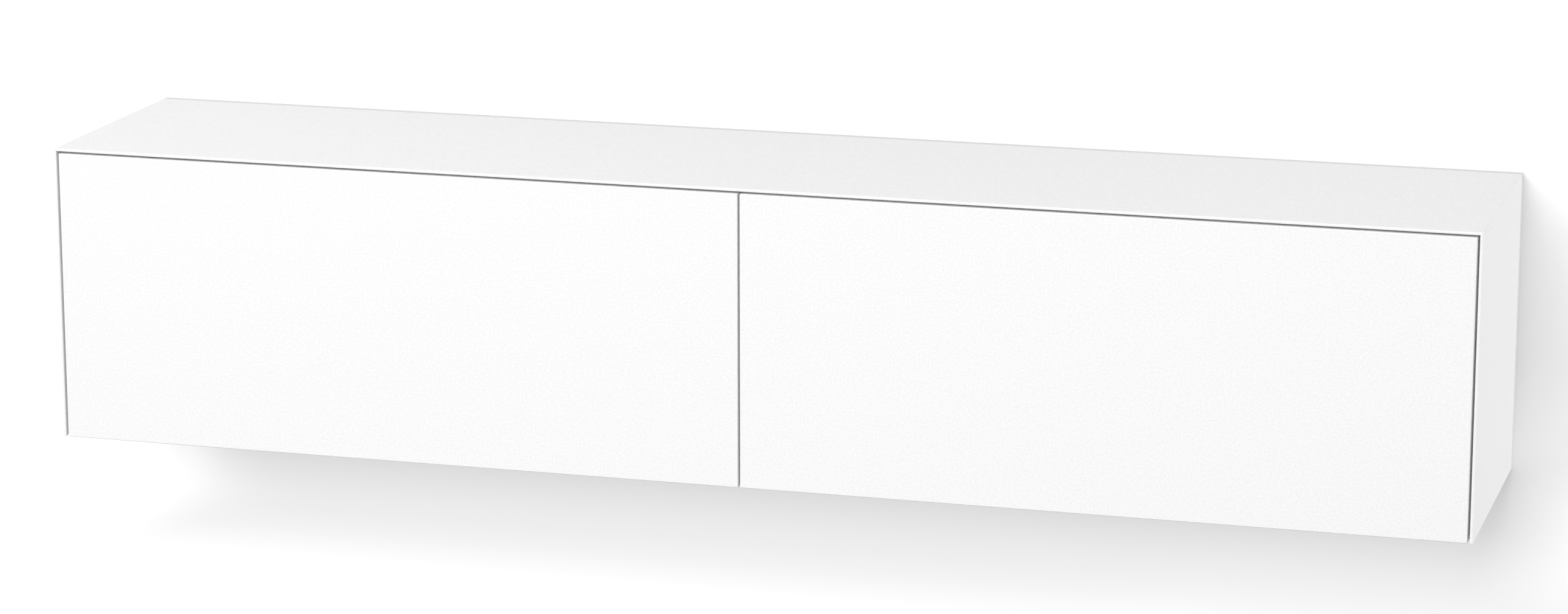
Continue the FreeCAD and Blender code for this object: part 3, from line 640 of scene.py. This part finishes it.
BRUSH_STRETCH = (1.0, 0.12, 0.12)
SCRATCH_DEEP = 0.02 * MM
bright_zinc = zinc_plate("bright zinc plate", "#D2D4D6", "#BFC2C6", 0.4, 6)
seat_screws = []
front_screws = {"right": [], "left": []}
for side in ("right", "left"):
    low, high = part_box(f"{side}_flap")
    seat_leaves, front_leaves = [], []
    for x in (low[0] + HINGE_END, (low[0] + high[0]) / 2, high[0] - HINGE_END):
        span = (x - LEAF_HALF, x + LEAF_HALF)
        leaf_z = HINGE_LINE[2] + LEAF_LOW
        seat_leaves.append(pressed((span, (HINGE_LINE[2] - SHEET, TOP_FACE)), LEAF_CORNER, DIE_EASE,
                                   (SEAT, SEAT + SHEET), along_y))
        seat_leaves.append(pressed((span, (SEAT, SEAT + LEAF_DEEP)), LEAF_CORNER, DIE_EASE,
                                   (TOP_FACE - SHEET, TOP_FACE), along_z))
        middle = KNUCKLE_MID / 2 + KNUCKLE_GAP
        for x0, x1 in ((span[0], x - middle), (x + middle, span[1])):
            seat_leaves.append(rolled(x0, x1))
            seat_leaves.append(pressed(((x0, x1), (HINGE_LINE[1], SEAT + SHEET / 2)), SHEET / 2, DIE_EASE,
                                       (HINGE_LINE[2] - SHEET, HINGE_LINE[2] + SHEET), along_z))
        front_leaves.append(rolled(x - KNUCKLE_MID / 2, x + KNUCKLE_MID / 2))
        front_leaves.append(pressed((span, (leaf_z, leaf_z + LEAF_HIGH)), LEAF_CORNER, DIE_EASE,
                                    (FLAP_BACK - SHEET, FLAP_BACK), along_y))
        front_leaves.append(pressed(((x - KNUCKLE_MID / 2, x + KNUCKLE_MID / 2),
                                     (HINGE_LINE[2], leaf_z + SHEET)), SHEET / 2, DIE_EASE,
                                    (FLAP_BACK - KNUCKLE, FLAP_BACK), along_y))
        spread = 2 * LEAF_HALF / 3
        on_seat, on_front = SEAT + SCREW_SHARE * LEAF_DEEP, leaf_z + SCREW_SHARE * LEAF_HIGH
        seat_screws += [screw((x + s * spread, on_seat, TOP_FACE), (0, 0, -1), SCREW_LONG) for s in (-1, 1)]
        front_screws[side] += [screw((x + s * spread, FLAP_BACK, on_front), (0, -1, 0), SCREW_LONG)
                               for s in (-1, 0, 1)]
    made(f"{side}_seat_leaves", seat_leaves, bright_zinc, "carcass", f"{side}_hinge_fixed_leaves")
    made(f"{side}_front_leaves", front_leaves, bright_zinc, f"{side}_flap", f"{side}_hinge_flap_leaves")
    finish_node(f"{side}_hinge_pins", bright_zinc)


# ---------------------------------------------------------------------------------------------------------
# Stays: two to a flap. A friction brake on the bay's wall holds a pressed arm, and a link runs from the arm's
# elbow to an angle bracket on the flap. All are zinc-plated strip, joined by domed rivets.
# ---------------------------------------------------------------------------------------------------------

def stiffened_bar(a, b, half, thick, place):
    """A pressed bar with round ends between two pivots, and a shallow channel down its outer face."""
    low, high = thick
    rows = [(1, 0.4 * half, low), (1, half - DIE_EASE, low), (1, half - 0.3 * DIE_EASE, low + 0.3 * DIE_EASE),
            (1, half, low + DIE_EASE), (1, half, high - DIE_EASE),
            (1, half - 0.3 * DIE_EASE, high - 0.3 * DIE_EASE), (1, half - DIE_EASE, high),
            (1, 0.72 * half, high), (1, 0.62 * half, high - CHANNEL_DEEP), (1, 0.4 * half, high - CHANNEL_DEEP)]
    return rounded([a, b], rows, place)


def domed(radius, rise, height, up):
    """The profile of a domed head, a quarter of an ellipse from its rim at height to the top of its dome."""
    angle = np.linspace(0, ARC_END, 6)
    return [(radius * math.cos(a), height + up * rise * math.sin(a)) for a in angle]


def rivet(y, z, wall, into):
    """A shouldered rivet with a dome at each end, through the arm's layer and the link's layer."""
    inner_head = domed(RIVET_HEAD, RIVET_RISE, ARM_AT, -1)[::-1]
    outer_head = domed(RIVET_HEAD, RIVET_RISE, LINK_AT + STRIP + PLAY, 1)
    profile = inner_head + [(RIVET, ARM_AT), (RIVET, LINK_AT + STRIP + PLAY)] + outer_head
    return turned(profile, (wall, y, z), (into, 0, 0))


def knurled_drum(y, z, place):
    """The brake's drum as rings from its foot to the middle of its dished cap. Each row is (share of the
    radius, height, knurl), and where knurl is 1 the ring's radius dips by a cosine, once for each knurl."""
    top = PLATE + DRUM_THICK
    rows = [(0.9, 0, 0), (0.9, PLATE + DRUM_EASE, 0), (1, PLATE + 1.4 * DRUM_EASE, 1), (1, top - DRUM_EASE, 1),
            (0.95, top, 0), (0.72, top, 0), (0.68, top - CAP_DISH, 0), (0.3, top - CAP_DISH, 0)]
    share, height, knurl = np.array(rows).T[:, :, None]
    angle = np.linspace(0, math.tau, 4 * KNURLS, endpoint=False)
    radius = DRUM_RADIUS * share - KNURL_DEEP * knurl * (1 - np.cos(KNURLS * angle)) / 2
    height = np.broadcast_to(height, radius.shape)
    return ringed(place(height, y + radius * np.cos(angle), z + radius * np.sin(angle)))


STRIP = 3 * MM
PLAY = 0.3 * MM
BAR_HALF = 8 * MM
CHANNEL_DEEP = 0.5 * MM
DRUM_RADIUS = 18 * MM
DRUM_THICK = 8 * MM
PLATE = 2 * MM
RIVET = 3 * MM
RIVET_HEAD = 5 * MM
RIVET_RISE = 1 * MM
BRAKE_RIVET = 4 * MM
BRAKE_HEAD = 6 * MM
ARM_AT = PLATE + DRUM_THICK + RIVET_RISE + PLAY
LINK_AT = ARM_AT + STRIP + PLAY
BRAKE_SCREW_IN = 7 * MM
BRACKET_SCREW_IN = 6 * MM
KNURLS = 36
KNURL_DEEP = 0.43 * MM
DRUM_EASE = 1 * MM
CAP_DISH = 0.6 * MM
BRAKE_CORNER = 5 * MM
BRACKET_CORNER = 3 * MM
WEB_CORNER = 1 * MM
brake_rivets = []
for side in ("right", "left"):
    eye_rivets = []
    for place in ("inner", "outer"):
        stay = f"{side}_{place}_stay"
        low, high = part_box(f"{stay}_brake_housing")
        inward = 1 if (side == "right") == (place == "inner") else -1
        wall_face = low[0] if inward > 0 else high[0]

        def on_wall(out, y, z):
            """Places a drawing in Y, Z at a distance out from the bay's wall."""
            return np.stack([wall_face + inward * out, y, z], -1)

        brake_y, brake_z = (low[1] + high[1]) / 2, (low[2] + high[2]) / 2
        base = pressed(((low[1], high[1]), (low[2], high[2])), BRAKE_CORNER, DIE_EASE, (0, PLATE), on_wall)
        drum = knurled_drum(brake_y, brake_z, on_wall)
        made(f"{stay}_friction_brake", [base, drum], bright_zinc, "carcass", f"{stay}_brake_housing")
        reach = (high[1] - low[1]) / 2 - BRAKE_SCREW_IN
        plate_face = wall_face + inward * PLATE
        seat_screws += [screw((plate_face, brake_y + s * reach, brake_z), (-inward, 0, 0), SCREW_LONG)
                        for s in (-1, 1)]
        pin = [(0.3 * BRAKE_RIVET, 0), (BRAKE_RIVET, 0), (BRAKE_RIVET, LINK_AT)]
        pin += domed(BRAKE_HEAD, RIVET_RISE, LINK_AT, 1)
        brake_rivets.append(turned(pin, (wall_face, brake_y, brake_z), (inward, 0, 0)))

        low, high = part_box(f"{stay}_link")
        eye, elbow = (low[1] + BAR_HALF, low[2] + BAR_HALF), (high[1] - BAR_HALF, high[2] - BAR_HALF)
        link = stiffened_bar(eye, elbow, BAR_HALF, (LINK_AT, LINK_AT + STRIP), on_wall)
        made(f"{stay}_pressed_link", [link], bright_zinc, f"{stay}_link", f"{stay}_link")
        arm = stiffened_bar((brake_y, brake_z), elbow, BAR_HALF, (ARM_AT, ARM_AT + STRIP), on_wall)
        made(f"{stay}_pressed_arm", [arm], bright_zinc, f"{stay}_arm", f"{stay}_arm")
        made(f"{stay}_elbow_rivet", [rivet(*elbow, wall_face, inward)], bright_zinc, f"{stay}_arm",
             f"{stay}_elbow_pin")
        eye_rivets.append(rivet(*eye, wall_face, inward))

        low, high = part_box(f"{stay}_flap_bracket")
        foot = pressed(((low[0], high[0]), (low[2], high[2])), BRACKET_CORNER, DIE_EASE,
                       (FLAP_BACK, FLAP_BACK + PLATE), along_y)
        ear = stiffened_bar((FLAP_BACK + BAR_HALF, eye[1]), eye, BAR_HALF, (ARM_AT, ARM_AT + STRIP), on_wall)
        web_size = ((FLAP_BACK, FLAP_BACK + BAR_HALF), (eye[1] - BAR_HALF, eye[1] + BAR_HALF))
        web = pressed(web_size, WEB_CORNER, DIE_EASE, (ARM_AT, ARM_AT + STRIP), on_wall)
        made(f"{stay}_angle_bracket", [foot, ear, web], bright_zinc, f"{side}_flap", f"{stay}_flap_bracket")
        rise, middle = (high[2] - low[2]) / 2 - BRACKET_SCREW_IN, (low[0] + high[0]) / 2
        front_screws[side] += [screw((middle, FLAP_BACK + PLATE, eye[1] + s * rise), (0, -1, 0), SCREW_LONG)
                               for s in (-1, 1)]
    made(f"{side}_eye_rivets", eye_rivets, bright_zinc, f"{side}_flap", f"{side}_stay_eye_pins")
    made(f"{side}_front_screws", front_screws[side], bright_zinc, f"{side}_flap", f"{side}_flap_screws")
made("brake_rivets", brake_rivets, bright_zinc, "carcass", "stay_brake_pins")
made("seat_screws", seat_screws, bright_zinc, "carcass", "carcass_screws")


# ---------------------------------------------------------------------------------------------------------
# Shelf pins: turned steel studs, two at each end of a shelf, pushed into the middle holes of the rows.
# ---------------------------------------------------------------------------------------------------------

def shelf_pin(face, out, y, z):
    """A plain stud with a domed end that stands out of the board's face at X = face."""
    profile = [(0.8 * PIN_RADIUS, -HOLE_DEEP), (PIN_RADIUS, PIN_EASE - HOLE_DEEP)]
    profile += domed(PIN_RADIUS, PIN_DOME, PIN_OUT - PIN_DOME, 1)
    return turned(profile, (face, y, z), (out, 0, 0))


PIN_OUT = 7 * MM
PIN_DOME = 1.2 * MM
PIN_EASE = 0.4 * MM
for side in ("right", "left"):
    low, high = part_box(f"{side}_shelf_pins")
    rows = (low[1] + PIN_RADIUS, high[1] - PIN_RADIUS)
    height = (low[2] + high[2]) / 2
    pins = [shelf_pin(face, out, y, height) for y in rows
            for face, out in ((low[0] + HOLE_DEEP, 1), (high[0] - HOLE_DEEP, -1))]
    made(f"{side}_shelf_studs", pins, bright_zinc, "carcass", f"{side}_shelf_pins")


# ---------------------------------------------------------------------------------------------------------
# Hanging rails: two lengths of one anodised aluminium extrusion, hooked into each other. One is screwed to the
# battens through the back, and the other goes on the wall, through its six holes.
# ---------------------------------------------------------------------------------------------------------

def anodised(name, light, dark, line_mm):
    """Satin anodised aluminium with the fine lines that the extrusion die leaves along the length."""
    material, tree = empty_material(name)
    place = add(tree, "ShaderNodeTexCoord")
    stretch = add(tree, "ShaderNodeMapping", {"Scale": LINE_STRETCH}, {"Vector": place.outputs["Object"]})
    lines = add(tree, "ShaderNodeTexNoise", {"Scale": 1 / (line_mm * MM), "Detail": 4.0},
                {"Vector": stretch.outputs["Vector"]})
    tone = add(tree, "ShaderNodeMix", {"data_type": "RGBA", 6: linear(dark), 7: linear(light)},
               {0: lines.outputs["Fac"]})
    gloss = add(tree, "ShaderNodeMapRange", {"To Min": 0.34, "To Max": 0.5}, {"Value": lines.outputs["Fac"]})
    bump = add(tree, "ShaderNodeBump", {"Strength": 0.2, "Distance": LINE_DEEP},
               {"Height": lines.outputs["Fac"]})
    metal = add(tree, "ShaderNodeBsdfPrincipled", {"Metallic": 1.0},
                {"Base Color": tone.outputs[2], "Roughness": gloss.outputs["Result"],
                 "Normal": bump.outputs["Normal"]})
    add(tree, "ShaderNodeOutputMaterial", {}, {"Surface": metal.outputs["BSDF"]})
    return material


def rail_section(seat_z, up, tip, face, out):
    """The hooked extrusion as Y, Z points: the flange, the web at seat_z and the lip, which ends at tip. face
    is the side that lies on the wall or on the back, and out points from it to the other rail."""
    lip_in, lip_out = 2 * RAIL_SHEET + 2 * RAIL_GAP, 3 * RAIL_SHEET + 2 * RAIL_GAP
    outline = [(0, seat_z - up * RAIL_FLANGE), (0, seat_z + up * RAIL_HOOK),
               (RAIL_SHEET, seat_z + up * RAIL_HOOK), (RAIL_SHEET, seat_z), (lip_in, seat_z), (lip_in, tip),
               (lip_out, tip), (lip_out, seat_z - up * RAIL_SHEET), (RAIL_SHEET, seat_z - up * RAIL_SHEET),
               (RAIL_SHEET, seat_z - up * RAIL_FLANGE)]
    turned_way = 1 if up * out > 0 else -1
    return [(face + out * depth, z) for depth, z in outline][::-turned_way]


RAIL_SHEET = 2.7 * MM
RAIL_GAP = 0.4 * MM
RAIL_HOOK = 12 * MM
RAIL_FLANGE = 38 * MM
DIE_RADIUS = 0.5 * MM
RAIL_SCREW_FIRST = 120 * MM
RAIL_SCREWS = 4
RAIL_SCREW_LONG = 30 * MM
LINE_STRETCH = (0.004, 1.0, 1.0)
LINE_DEEP = 0.02 * MM
satin_aluminium = anodised("satin anodised aluminium", "#DCDDDF", "#C6C8CB", 0.8)
low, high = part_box("wall_rail")
wall_section = rail_section(low[2] + RAIL_FLANGE, 1, high[2], high[1], -1)
wall_holes = []
for mount in frame["record"]["mounts"]:
    if mount["kind"] == "bolt_pattern":
        reach, radius = mount["dims"]["spacing_x_mm"] * MM / 2, mount["dims"]["hole_r_mm"] * MM
        through = [(radius, -RAIL_SHEET), (radius, 4 * RAIL_SHEET)]
        wall_holes += [turned(through, (s * reach, high[1], mount["pos_m"][2]), (0, -1, 0)) for s in (-1, 1)]
made("extruded_wall_rail", [board([(None, wall_section)], straight_ends(low[0], high[0]), DIE_RADIUS, along_x)],
     satin_aluminium, "carcass", "wall_rail", wall_holes)
low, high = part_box("hanging_rail")
back_section = rail_section(high[2] - RAIL_FLANGE, -1, low[2], low[1], 1)
hanging = board([(None, back_section)], straight_ends(low[0], high[0]), DIE_RADIUS, along_x)
made("extruded_hanging_rail", [hanging], satin_aluminium, "carcass", "hanging_rail")
low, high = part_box("hanging_rail_screws")
screw_z = (low[2] + high[2]) / 2
spots = np.linspace(RAIL_SCREW_FIRST, high[0] - HEAD_RADIUS, RAIL_SCREWS)
rail_screws = [screw((s * x, high[1], screw_z), (0, -1, 0), RAIL_SCREW_LONG) for x in spots for s in (-1, 1)]
made("rail_screws", rail_screws, bright_zinc, "carcass", "hanging_rail_screws")


# ---------------------------------------------------------------------------------------------------------
# Latches and bumpers: a spark-eroded ABS cartridge under the top with a push pin in it, a steel strike on the
# flap, and soft polyurethane domes at the flap's upper corners.
# ---------------------------------------------------------------------------------------------------------

def moulded(name, light, dark, spark_mm, rough):
    """A plastic moulding, with the even satin grain that it takes from a spark-eroded tool."""
    material, tree = empty_material(name)
    place = add(tree, "ShaderNodeTexCoord")
    spark = add(tree, "ShaderNodeTexNoise", {"Scale": 1 / (spark_mm * MM), "Detail": 4.0},
                {"Vector": place.outputs["Object"]})
    tone = add(tree, "ShaderNodeMix", {"data_type": "RGBA", 6: linear(dark), 7: linear(light)},
               {0: spark.outputs["Fac"]})
    bump = add(tree, "ShaderNodeBump", {"Strength": 0.2, "Distance": SPARK_DEEP},
               {"Height": spark.outputs["Fac"]})
    body = add(tree, "ShaderNodeBsdfPrincipled", {"Roughness": rough, "IOR": 1.53},
               {"Base Color": tone.outputs[2], "Normal": bump.outputs["Normal"]})
    add(tree, "ShaderNodeOutputMaterial", {}, {"Surface": body.outputs["BSDF"]})
    return material


SPARK_DEEP = 0.04 * MM
grey_abs = moulded("spark-eroded ABS", "#DEDFDD", "#D3D4D2", 0.35, 0.5)
soft_polyurethane = moulded("soft polyurethane", "#E8E8E2", "#DEDED8", 0.8, 0.35)
BORE = 4.1 * MM
BORE_DEEP = 20 * MM
PIN_ROUND = 0.8 * MM
NECK = 1.8 * MM
CASE_CORNER = 2.5 * MM
CASE_EASE = 0.6 * MM
CASE_RIB = 0.5 * MM
STRIKE_CORNER = 2 * MM
for side in ("right", "left"):
    low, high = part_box(f"{side}_latch_housing")
    u0, u1 = low[0] + CASE_CORNER, high[0] - CASE_CORNER
    v0, v1 = low[2] + CASE_CORNER, high[2] - CASE_CORNER
    skeleton = [(u0, v0), (u1, v0), (u1, v1), (u0, v1)]
    rib_at = np.linspace(low[1] + 0.2 * (high[1] - low[1]), high[1] - 0.1 * (high[1] - low[1]), 4)
    rows = [(1, CASE_CORNER - CASE_EASE, high[1]), (1, CASE_CORNER, high[1] - CASE_EASE)]
    for y in rib_at[::-1]:
        rows += [(1, CASE_CORNER, y + 2 * CASE_RIB), (1, CASE_CORNER - CASE_RIB, y + CASE_RIB),
                 (1, CASE_CORNER - CASE_RIB, y - CASE_RIB), (1, CASE_CORNER, y - 2 * CASE_RIB)]
    rows += [(1, CASE_CORNER, low[1] + CASE_EASE), (1, CASE_CORNER - CASE_EASE, low[1]),
             (0, BORE + CASE_EASE, low[1]), (0, BORE, low[1] + CASE_EASE), (0, BORE, low[1] + BORE_DEEP)]
    made(f"{side}_latch_case", [rounded(skeleton, rows, along_y)], grey_abs, "carcass", f"{side}_latch_housing")
    low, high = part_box(f"{side}_latch_plunger")
    middle_x, middle_z, thick = (low[0] + high[0]) / 2, (low[2] + high[2]) / 2, (high[0] - low[0]) / 2
    long = high[1] - low[1]
    tip = [(0.45 * thick, 0.4 * PIN_ROUND), (0.55 * thick, 0), (0.8 * thick, 0), (thick, PIN_ROUND),
           (thick, 0.9 * NECK), (0.94 * thick, NECK), (0.94 * thick, 1.3 * NECK), (thick, 1.4 * NECK),
           (thick, long - PIN_ROUND), (0.8 * thick, long)]
    made(f"{side}_push_pin", [turned(tip, (middle_x, low[1], middle_z), (0, 1, 0))], grey_abs,
         f"{side}_latch_plunger", f"{side}_latch_plunger")
    low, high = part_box(f"{side}_latch_strike_plate")
    strike = pressed(((low[0], high[0]), (low[2], high[2])), STRIKE_CORNER, DIE_EASE, (low[1], high[1]),
                     along_y)
    made(f"{side}_strike", [strike], bright_zinc, f"{side}_flap", f"{side}_latch_strike_plate")
    low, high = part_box(f"{side}_flap_bumpers")
    radius, thick = (high[2] - low[2]) / 2, high[1] - low[1]
    dome = [(0.5 * radius, 0), (radius, 0)] + domed(radius, thick * 0.7, thick * 0.3, 1)
    domes = [turned(dome, (x, low[1], low[2] + radius), (0, 1, 0)) for x in (low[0] + radius, high[0] - radius)]
    made(f"{side}_bumper_domes", domes, soft_polyurethane, f"{side}_flap", f"{side}_flap_bumpers")


# ---------------------------------------------------------------------------------------------------------
# Dowels and mitre tongues: beech, glued into the boards where they don't show.
# ---------------------------------------------------------------------------------------------------------

def beech_wood(name, light, dark, ring_mm):
    """Planed beech: close growth rings with short darker flecks."""
    material, tree = empty_material(name)
    place = add(tree, "ShaderNodeTexCoord")
    rings = add(tree, "ShaderNodeTexWave", {"Scale": 1 / (ring_mm * MM), "Distortion": 3.0, "Detail": 3.0},
                {"Vector": place.outputs["Object"]})
    tone = add(tree, "ShaderNodeMix", {"data_type": "RGBA", 6: linear(dark), 7: linear(light)},
               {0: rings.outputs["Fac"]})
    bump = add(tree, "ShaderNodeBump", {"Strength": 0.2, "Distance": PORE_DEEP},
               {"Height": rings.outputs["Fac"]})
    wood = add(tree, "ShaderNodeBsdfPrincipled", {"Roughness": 0.6},
               {"Base Color": tone.outputs[2], "Normal": bump.outputs["Normal"]})
    add(tree, "ShaderNodeOutputMaterial", {}, {"Surface": wood.outputs["BSDF"]})
    return material


PORE_DEEP = 0.05 * MM
planed_beech = beech_wood("planed beech", "#D9B48A", "#C49B6E", 3.0)
for name in ("carcass_dowels", "mitre_splines"):
    finish_node(name, planed_beech)
